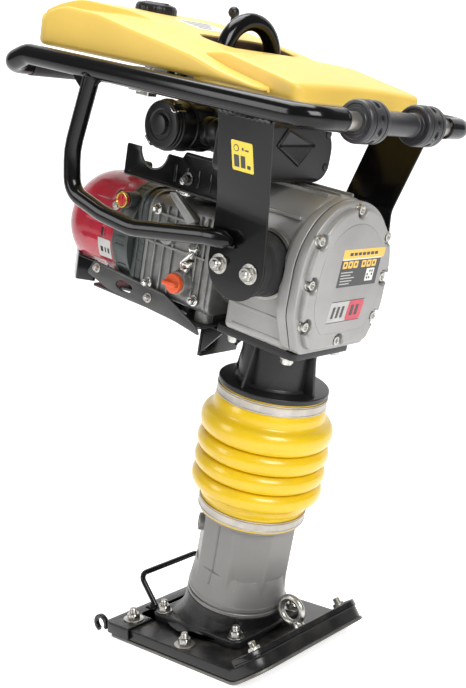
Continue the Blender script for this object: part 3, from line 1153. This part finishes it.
# ---------------------------------------------------------------- side plates
# Bent steel plates, gloss black, that hang the handle on the rubber mounts; round at the foot and
# splayed out to the rails, where they are welded. Each has a yellow notice with plain marks.
PLATE_IN, PLATE_OUT, SPLAY_FROM, SPLAY_TO, RAIL_HALF = 148, 152, 694, 820, 190.5
plate_plan = soften([(-41, 617), (-41, 694), (-28, 822), (67, 822), (52, 694), (61, 617), (61, 566),
                     (-41, 566)],
                    [0, 30, 0, 0, 30, 0, 50, 50], steps=10)


def splayed(side):
    """Bends a flat plate outwards above its crease, with a soft corner."""
    slope = (RAIL_HALF - 150) / (SPLAY_TO - SPLAY_FROM)

    def rule(x, y, z):
        over = z - SPLAY_FROM
        soft = 14
        if abs(over) <= soft:
            shift = slope * (over + soft) ** 2 / (4 * soft)
        else:
            shift = slope * over if over > 0 else 0
        return x, side * (y + shift), z
    return rule


plates = []
for side in (-1, 1):
    flat_plate = slab(plate_plan, PLATE_IN, PLATE_OUT, 1.1, "y")
    plates.append(warped(sliced(flat_plate, 2, [680 + 3.5 * step for step in range(9)]), splayed(side)))
    for x in (-30, 66):
        bead = tube([(x + (0 if x > 0 else 2), side * 190, 819),
                     (x + (-6 if x > 0 else 12), side * 190, 821.5)], 0, 3.2, 12)
        plates.append(bead)
    weld = [(-26 + 91 * step / 30, side * 193.1, 820 + 0.9 * math.sin(step * 2.1)) for step in range(31)]
    plates.append(tube(weld, 0, 3.0, 10, shape=lambda share: (1 + 0.12 * math.sin(190 * share),) * 2))
piece("splayed_plates", "handle", BLACK, plates, "side_plates", LEAN)
plate_screws = []
for side in (-1, 1):
    for x in (-18, 38):
        plate_screws += nut((x, side * PLATE_OUT, 611), (0, side, 0), 19, 9, 14.5, 6, 3)
piece("plate_screws", "handle", ZINC, plate_screws, "mount_bolts", LEAN)
notice_yellow = Finish("printed_yellow_foil", (0.80, 0.62, 0.03), 0.3, coat=0.4).mottle(60, 0.08).done()
NOTICE_FOILS = [notice_yellow, foil_black]
for side, name in ((-1, "right_notice"), (1, "left_notice")):
    fields = [mark(slab(soften(oblong(-7, 746, 31, 786), 2.5), PLATE_OUT, PLATE_OUT + 0.6, 0.1,
                        "y", steps=1), 0),
              mark(slab(circle(2, 776, 4.6, 28), PLATE_OUT, PLATE_OUT + 0.9, 0.1, "y", steps=1), 1),
              mark(slab(circle(2, 776, 3.4, 28), PLATE_OUT, PLATE_OUT + 1.1, 0.1, "y", steps=1), 0)]
    for low_x, low_z, high_x, high_z in ((12, 774, 15, 778), (17, 774, 24, 776), (-3, 751, 6, 767),
                                         (9, 751, 17, 767), (20, 751, 26, 756)):
        bar = slab(soften(oblong(low_x, low_z, high_x, high_z), 1),
                   PLATE_OUT, PLATE_OUT + 0.9, 0.1, "y", steps=1)
        fields.append(mark(bar, 1))
    piece(name, "handle", NOTICE_FOILS,
          [mark(warped(field, splayed(side)), field[2]) for field in fields], (), LEAN)

# ---------------------------------------------------------------- handle tubes
# Steel tubes, bent cold and welded: two rails joined by the roller bar in front and the grip
# behind, a guard tube on each side and the lifting hoop on its cross plate. Gloss black enamel.
RAIL_Z, BAR_X, REAR_X, REAR_Z = 836, 124.5, -485, 816
rails = []
for side in (-1, 1):
    half = side * RAIL_HALF
    route = [(BAR_X, side * 128, RAIL_Z), (BAR_X, half, RAIL_Z), (-440, half, RAIL_Z),
             (REAR_X, half, REAR_Z), (REAR_X, side * 150, REAR_Z)]
    rails.append(tube(route, [0, 32, 40, 24, 0], 15.5, 28))
    rails.append(turned([(8, 126.2), (15, 126.2), (16, 128), (16, 131), (15, 132.5), (8, 132.5)], 0.6,
                        (BAR_X, 0, RAIL_Z), (0, side, 0), 40))
    gusset = slab(soften([(-330, 822), (-262, 822), (-296, 796)], 2), RAIL_HALF - 2, RAIL_HALF + 2, 0.8, "y")
    rails.append(warped(gusset, lambda x, y, z: (x, side * y, z)))
piece("rail_tubes", "handle", BLACK, rails, "side_rails", LEAN)
grip_line = [(12.6, -149.9), (16.4, -149.9), (17, -149)]
for step in range(60):
    grip_line += [(17, -147 + 4.9 * step), (16.55, -145.4 + 4.9 * step), (16.55, -144.6 + 4.9 * step),
                  (17, -143 + 4.9 * step)]
grip_line += [(17, 149), (16.4, 149.9), (12.6, 149.9)]
soft_grip = Finish("grip_rubber", (0.012, 0.012, 0.013), 0.5).dust(0.3)
piece("rear_hand_grip", "handle", soft_grip.grain(700, 0.0002).done(),
      [spin(grip_line, (REAR_X, 0, REAR_Z), "y", 56)], "rear_grip", LEAN)


def drawn_in(share):
    """The tube's lower end is closed to a round nose where it is welded to the plate."""
    narrow = math.sqrt(1 - 0.8 * min(1.0, max(0.0, (share - 0.96) / 0.04)) ** 2)
    return narrow, narrow


guards = []
for side in (-1, 1):
    half = side * RAIL_HALF
    route = [(-284.5, half, 830), (-311, half, 712), (-300, half, 650), (-231, side * 186, 632),
             (-170, side * 180, 625), (-38, side * 166, 646), (-6, side * 166, 648.8), (6, side * 166, 650)]
    guards.append(tube(route, [0, 90, 34, 120, 80, 60, 0, 0], 13, 26, shape=drawn_in))
    collar = [(-284.5 + 13.4 * math.cos(a) - 2.4, side * (RAIL_HALF + 13.4 * math.sin(a)),
               822.2 + 3.8 * abs(math.sin(a)) ** 2) for a in [2 * math.pi * s / 36 for s in range(37)]]
    guards.append(tube(collar, 0, 2.6, 10))
    foot_weld = [(-42 + 48 * step / 24, side * 153.6, 636.5 + 2.2 * step / 12 + 0.5 * math.sin(step * 2.2))
                 for step in range(25)]
    guards.append(tube(foot_weld, 0, 2.8, 10))
piece("guard_bars", "handle", BLACK, guards, "guard_tubes", LEAN)

hoop_route = [(-158, -58, 826), (-158, -58, 937), (-158, 58, 937), (-158, 58, 826)]
cross_plan = soften(oblong(-205, -177, -112, 177), 6)
hoop_parts = [slab(cross_plan, 823, 828, 1.2), tube(hoop_route, [0, 57, 57, 0], 13, 28)]
for side in (-1, 1):
    ring_weld = [(-158 + 14 * math.cos(a), side * 58 + 14 * math.sin(a), 829) for a in
                 [2 * math.pi * s / 30 for s in range(31)]]
    hoop_parts.append(tube(ring_weld, 0, 2.6, 10))
    for x in (-196, -121):
        hoop_parts.append(turned([(0, 827), (6, 827), (6, 852.6), (0, 852.9)], 0.8,
                                 (x, side * 120, 0), "z", 28))
        hoop_parts += nut((x, side * 120, 828), "z", 13, 7, 11, 6, 0)
piece("hoop_and_plate", "handle", BLACK, hoop_parts, "lifting_hoop", LEAN)

# ---------------------------------------------------------------- rollers
# Two hard moulded rollers that spin on the front bar, each with grooves and a belt of oval
# pockets; a black spacer sleeve between them keeps them apart.
roller_plastic = Finish("roller_plastic", (0.022, 0.022, 0.026), 0.4, coat=0.1)
roller_plastic.mottle(40, 0.3).dust(0.35).wear(0.4, (0.10, 0.10, 0.10), 90)
ROLLER = roller_plastic.grain(600, 0.00015).done()


def pockets(turn, height):
    """Sinks oval pockets into the middle belt of a roller."""
    if not -9 < height < 10:
        return 1
    cell_width = 2 * math.pi / 9
    local = (turn % cell_width) - cell_width / 2
    reach = (local * 29 / 7.0) ** 2 + (height / 4.2) ** 2
    return 1 - 0.13 * min(1.0, max(0.0, (1.15 - reach) * 5))


belt = [(24, -21.9), (26.5, -21.6), (28.2, -19.5), (28.8, -17), (28.8, -13.2), (27.2, -12.6), (27.2, -11.4),
        (28.8, -10.8)]
belt += [(28.9, -8.5 + 0.5 * step) for step in range(36)]
belt += [(28.8, 11), (27.2, 11.6), (27.2, 12.8), (28.8, 13.4), (28.8, 19.5), (28, 21.4), (25, 21.9),
         (24, 20), (23.6, 14.4),
         (16.6, 14.4), (16, 15), (16, 21.9), (12.6, 21.9)]
roller_line = [(12.6, -21.9), (17, -21.9), (18, -20.4), (22, -20.4), (23.4, -21.9)] + belt
for name, body, node, y in (("right_roller_shell", "right_roller", "near_roller", -78),
                            ("left_roller_shell", "left_roller", "far_roller", 64)):
    piece(name, body, ROLLER, [spin(roller_line, (BAR_X, y, RAIL_Z), "y", 144, pockets)],
          node, LEAN)
bar_line = soften(oblong(0, -138, 12.5, 138), [0, 2, 2, 0], closed=False)
sleeve = turned([(12.4, -55.5), (17, -55.5), (17, -50), (16.2, -49), (16.2, 34), (17, 35), (17, 41.5),
                 (12.4, 41.5)],
                0.7, (BAR_X, 0, RAIL_Z), "y", 48)
piece("front_bar", "handle", [BAND, ROLLER], [spin(bar_line, (BAR_X, 0, RAIL_Z), "y", 40), mark(sleeve, 1)],
      "roller_bar", LEAN)

# ---------------------------------------------------------------- fuel tank
# Blow-moulded yellow tank on four studs: a broad rear body with a shelf round its hump, a raised
# nose in front, a long slot that the hoop stands in and a round seat for the filler.
tank_yellow = Finish("moulded_yellow_tank", (0.80, 0.54, 0.095), 0.42, coat=0.06)
tank_yellow.mottle(7, 0.07).dust(0.10, (0.62, 0.55, 0.4)).wear(0.10, (0.6, 0.5, 0.3), 60)
over = tank_yellow.node("ShaderNodeSeparateXYZ", {}, {"Vector": tank_yellow.place}, "X")
beside = tank_yellow.node("ShaderNodeSeparateXYZ", {}, {"Vector": tank_yellow.place}, "Y").math("ABSOLUTE")
in_slot = (1 - beside.ramp(0.098, 0.101)) * over.ramp(0.002, 0.004) * (1 - over.ramp(0.084, 0.086))
tank_yellow.tint(in_slot * (1 - tank_yellow.upward.ramp(0.35, 0.6)), (0.05, 0.02, 0.006), 0.8)
TANK = tank_yellow.grain(900, 0.00012, 2.0).done()
TANK_LOW, TANK_HALF, NOSE_HALF = 853, 175, 150
REAR_EDGE = [(-463, 864), (-456, 878), (-445, 890), (-429, 901), (-409, 910), (-385, 916), (-306, 913),
             (-239, 902),
             (-176, 893), (-104, 882), (-57, 870), (0, 860), (20, 856)]
REAR_CROWN = [(-463, 866), (-456, 882), (-445, 896), (-429, 909), (-409, 920), (-385, 928), (-300, 924),
              (-192, 908), (-130, 898), (-104, 889),
              (-57, 877), (0, 866), (20, 860)]
NOSE_EDGE = [(-125, 882), (-101, 889.6), (-69, 894), (-13, 884), (40, 875), (66, 869)]


def height_at(line, where):
    """Height of a line of (place, height) pairs, eased a little at its corners."""
    total = 0.0
    for shift in (-9, -3, 3, 9):
        spot = min(max(where + shift, line[0][0]), line[-1][0])
        (x0, low), (x1, high) = next(pair for pair in zip(line, line[1:]) if spot <= pair[1][0])
        total += low + (high - low) * (spot - x0) / (x1 - x0)
    return total / 4


def hump(x):
    """Half width of the hump and the height of its wall, which fades out forwards."""
    return 118 + 42 * (max(0.0, -250 - x) / 160) ** 2, 15 * min(1.0, max(0.0, (-212 - x) / 170))


def rear_top(x, y):
    """Top of the rear body: a shelf inside each edge and the hump."""
    edge, crown = height_at(REAR_EDGE, x), height_at(REAR_CROWN, x)
    wall, step = hump(x)
    if abs(y) >= wall:
        return edge + (crown - step - edge) * max(0.0, (TANK_HALF - abs(y)) / max(6.0, TANK_HALF - wall))
    rise = min(1.0, (wall - abs(y)) / 8)
    return crown - step + (step + 1.2) * rise * rise * (3 - 2 * rise)


def nose_top(x, y):
    return height_at(NOSE_EDGE, x) + 4.5 * (1 - (y / NOSE_HALF) ** 2)


def body_section(x, half, low, sink, top, edge):
    """One closed section: flat bottom, upright sides, a small round on the edge, the given top."""
    brim = top(x, half) - sink
    under, edge = min(9, 0.45 * (brim - low)), min(edge, 0.45 * (brim - low))
    points = [(half * 0.5, low)]
    for centre_y, centre_z, radius, start in ((half - under, low + under, under, -90),
                                              (half - edge, brim - edge, edge, 0)):
        points += [(centre_y + radius * math.cos(math.radians(start + 15 * part)),
                    centre_z + radius * math.sin(math.radians(start + 15 * part))) for part in range(7)]
    wall = min(hump(x)[0], half - edge - 1)
    across = [half - edge + (wall - half + edge) * part / 10 for part in range(1, 11)]
    across += [wall - part for part in range(1, 9)] + [(wall - 8) * (1 - part / 24) for part in range(1, 24)]
    points += [(y, top(x, y) - sink) for y in across]
    return ([Vector((x, y, z)) for y, z in points + [(0, top(x, 0) - sink)]]
            + [Vector((x, -y, z)) for y, z in points[::-1]])


def moulded(start, finish, rows, half_at, low, top, rear_round, front_round):
    """A hollow-moulded body from its sections, its two ends drawn in by quarter rounds."""
    places = [start + (finish - start) * (0.5 - 0.5 * math.cos(math.pi * row / rows))
              for row in range(rows + 1)]
    sections = []
    for x in places:
        drawn = sum(radius - math.sqrt(radius ** 2 - max(0.0, radius - gap) ** 2)
                    for radius, gap in ((rear_round, x - start), (front_round, finish - x)))
        sections.append(body_section(x, half_at(x) - drawn * 0.7, low + drawn * 0.5, drawn, top, 7))
    return rings(sections)


def rear_half(x):
    """Plan of the rear body: square with corners of 44 behind and 20 in front."""
    behind, ahead = max(0.0, -419 - x), max(0.0, x)
    rear_corner = math.sqrt(44 ** 2 - min(behind, 43.5) ** 2)
    return TANK_HALF - 44 + rear_corner - 20 + math.sqrt(20 ** 2 - min(ahead, 19.5) ** 2)


def nose_half(x):
    return NOSE_HALF - 16 + math.sqrt(16 ** 2 - min(15.5, max(0.0, x - 50)) ** 2)


rear_skin = moulded(-463, 20, 190, rear_half, TANK_LOW, rear_top, 3, 6)
nose_skin = moulded(-125, 66, 80, nose_half, TANK_LOW - 7, nose_top, 5, 9)
CAP_X, CAP_SEAT = -368, 926
tank = piece("fuel_tank_shell", "handle", TANK, [rear_skin, nose_skin], "fuel_tank", LEAN, 40)
slot_line = []
for level, grown in ((840, 0), (896, 0), (899, 0.8), (901.5, 2.2), (904, 5), (930, 36)):
    plan = soften(oblong(-186 - grown, -92 - grown, -128 + grown, 92 + grown), 27.9 + grown, steps=10)
    slot_line.append([Vector((p.x, p.y, level + (0.16 * (-158 - p.x) if level > 880 else 0))) for p in plan])
seat_line = soften([(0, CAP_SEAT - 21), (24.3, CAP_SEAT - 21), (24.3, CAP_SEAT), (38, CAP_SEAT),
                    (38, CAP_SEAT + 3),
                    (42, CAP_SEAT + 6), (50, CAP_SEAT + 20), (0, CAP_SEAT + 20)],
                    [0, 0, 1, 1.5, 1.5, 3, 0, 0],
                   closed=False)
cutter = piece("slot_cutter", "handle", TANK, [rings(slot_line), spin(seat_line, (CAP_X, 0, 0), steps=80)])
cutter.parent = None
hole = tank.modifiers.new("hoop_slot", "BOOLEAN")
hole.operation, hole.solver, hole.object = "DIFFERENCE", "EXACT", cutter
hole.use_self = True
bpy.context.view_layer.update()
cut_mesh = bpy.data.meshes.new_from_object(tank.evaluated_get(bpy.context.evaluated_depsgraph_get()))
tank.modifiers.clear()
tank.data = cut_mesh
cut_mesh.set_sharp_from_angle(angle=math.radians(34))
bpy.data.objects.remove(cutter)


def laid(low, high, top, level, corner=2.0):
    """A thin printed field that follows the top of the tank."""
    plan = soften([low, (high[0], low[1]), high, (low[0], high[1])], corner, steps=3)
    flat = slab(plan, level, level + 0.3, 0.1, steps=1)
    for axis in (0, 1):
        flat = sliced(flat, axis, [low[axis] + 4 * step
                                   for step in range(1, int((high[axis] - low[axis]) / 4))])
    return warped(flat, lambda x, y, z: (x, y, top(x, y) + z))


lime = Finish("printed_lime_foil", (0.50, 0.62, 0.03), 0.35, coat=0.2).mottle(60, 0.1).done()
labels = [laid((-122, -34), (-100, 4), nose_top, 3.0),
          mark(laid((-118, -30), (-104, -18), nose_top, 3.2, 1), 1)]
labels += [mark(laid((-118 + 6 * count, -14), (-115 + 6 * count, -2), nose_top, 3.2, 0.5),
                1) for count in range(3)]
labels.append(mark(laid((-288, -40), (-226, 44), rear_top, 0.1, 4), 2))
labels += [mark(laid((-280 + 13 * count, -30), (-274 + 13 * count, 34 - 12 * count), rear_top, 0.3, 1), 1)
           for count in range(4)]
piece("tank_labels", "handle", [lime, foil_black, foil_white], labels, (), LEAN)

# Screw cap with a milled rim and a low wing, sunk in its round seat.
cap_line = soften([(0, CAP_SEAT - 12), (23.9, CAP_SEAT - 12), (23.9, 926.1), (34, 926.1), (34, 935),
                   (31, 940), (21, 943),
                   (0, 944)], [0, 0.5, 0, 1, 2, 2, 3, 0], closed=False)
cap_parts = [spin(cap_line, (CAP_X, 0, 0), "z", 120, milled(30, 0.022, 926.8, 936)),
             block((CAP_X - 25, -4, 939.5), (CAP_X + 25, 4, 943.9), 2)]
piece("filler_lid", "filler_cap", PLASTIC, cap_parts, "fuel_cap", LEAN)

# Fuel tap under the tank: a zinc body with a flat lever.
piece("tap_body", "handle", ZINC,
      [turned([(2, 823), (7, 823), (7, 828), (5.6, 829), (5.6, 846), (7, 847), (7, 853), (2, 853)], 0.5,
              (-262, -100, 0), "z", 28),
       block((-276, -110, 806), (-248, -90, 826), 2.5)], "fuel_tap", LEAN)
piece("tap_handle", "tap", ZINC,
      [turned([(1, 110.2), (5, 110.2), (5, 116), (1, 116.4)], 0.5, (-262, 0, 815), (0, -1, 0), 24),
       block((-284, -118, 811), (-258, -113.5, 819), 1.8)], "tap_lever", LEAN)

# ---------------------------------------------------------------- throttle
# Folded bracket on the left rail with the hand lever and its ball knob.
LEVER_X = -376
bracket_skin = [block((LEVER_X - 14, 184, 850), (LEVER_X + 14, 197, 853), 1),
                block((LEVER_X - 14, 188, 850), (LEVER_X + 14, 193, 884), 1.2),
                tube([(LEVER_X - 10, 188, 851), (LEVER_X + 10, 188, 851)], 0, 1.6, 10)]
piece("throttle_mount", "handle", BLACK, bracket_skin, "throttle_bracket", LEAN)
lever_skin = [turned([(1, 186), (4, 186), (4, 193.4), (9, 193.6), (9, 197.2), (1, 197.4)], 0.5,
                     (LEVER_X, 0, 872), "y", 32),
              slab(soften([(-382, 868), (-370, 868), (-372, 944), (-380, 944)], 3), 193.6, 197.2, 0.8, "y"),
              spin([(0, 940.2), (4, 940.4)] + [(10 * math.sin(math.radians(a)),
                                                950 - 10 * math.cos(math.radians(a)))
                                               for a in range(30, 176, 8)] + [(0, 960)],
                                               (LEVER_X, 195.4, 0), "z", 40)]
piece("throttle_hand_lever", "throttle", PLASTIC, lever_skin, "throttle_lever", LEAN)

# ---------------------------------------------------------------- floor, light and camera
# Plain pale floor that runs up into the backdrop, three soft panels and an even sky.
floor_look = Finish("pale_floor", (0.90, 0.90, 0.90), 0.7, Emission_Color=(1, 1, 1, 1),
                    Emission_Strength=0.62)
FLOOR = floor_look.mottle(3, 0.01).done()
floor_mesh = bpy.data.meshes.new("studio_floor")
profile = [(-6, 0.0), (3.0, 0.0)] + [(3.0 + 1.5 * math.sin(a), 1.5 - 1.5 * math.cos(a)) for a in
                                      [math.radians(6 * step) for step in range(1, 16)]] + [(4.5, 7.0)]
BACKDROP_TURN = math.radians(131.4)
turn_floor = Matrix.Rotation(BACKDROP_TURN, 4, "Z")
rows = [[turn_floor @ Vector((depth, side * 8, height)) for side in (-1, 1)] for depth, height in profile]
points = [p for row in rows for p in row]
floor_mesh.from_pydata([tuple(Vector(p) + Vector((0, 0, -0.0005))) for p in points], [],
                       [(2 * i, 2 * i + 1, 2 * i + 3, 2 * i + 2) for i in range(len(rows) - 1)])
floor_mesh.materials.append(FLOOR)
floor_mesh.polygons.foreach_set("use_smooth", [True] * len(floor_mesh.polygons))
studio = bpy.data.objects.new("studio_floor", floor_mesh)
bpy.context.scene.collection.objects.link(studio)

sky = bpy.data.worlds.new("studio_sky")
bpy.context.scene.world = sky
sky.use_nodes = True
sky.node_tree.nodes["Background"].inputs["Color"].default_value = (1, 1, 1, 1)
sky.node_tree.nodes["Background"].inputs["Strength"].default_value = 0.17


def panel_light(name, place, target, size, power):
    data = bpy.data.lights.new(name, "AREA")
    data.shape, data.size, data.size_y, data.energy = "RECTANGLE", size[0], size[1], power
    lamp = bpy.data.objects.new(name, data)
    lamp.location = place
    lamp.rotation_mode = "QUATERNION"
    lamp.rotation_quaternion = (Vector(target) - Vector(place)).to_track_quat("-Z", "Y")
    bpy.context.scene.collection.objects.link(lamp)


panel_light("key_panel", (2.3, -1.0, 2.0), (0, 0, 0.5), (1.4, 1.4), 66)
panel_light("fill_panel", (-1.2, -2.4, 1.7), (0, 0, 0.5), (0.9, 1.8), 24)
panel_light("top_panel", (-0.2, 0.2, 2.9), (0, 0, 0.6), (1.6, 1.6), 48)

CAMERA_PLACE, LENS = (1.07936, -1.21430, 0.72999), 53.63
YAW, PITCH, ROLL = math.radians(41.38), math.radians(8.51), math.radians(-0.58)
back = Vector((math.sin(YAW) * math.cos(PITCH), -math.cos(YAW) * math.cos(PITCH), math.sin(PITCH)))
level = Vector((math.cos(YAW), math.sin(YAW), 0))
upright = back.cross(level)
right_way = level * math.cos(ROLL) + upright * math.sin(ROLL)
up_way = upright * math.cos(ROLL) - level * math.sin(ROLL)
camera_data = bpy.data.cameras.new("camera")
camera_data.sensor_width, camera_data.lens = 36.0, LENS
camera = bpy.data.objects.new("camera", camera_data)
bpy.context.scene.collection.objects.link(camera)
camera.matrix_world = Matrix([(right_way[i], up_way[i], back[i],
                               CAMERA_PLACE[i]) for i in range(3)] + [(0, 0, 0, 1)])
bpy.context.scene.camera = camera
bpy.context.scene.view_settings.view_transform = "Standard"
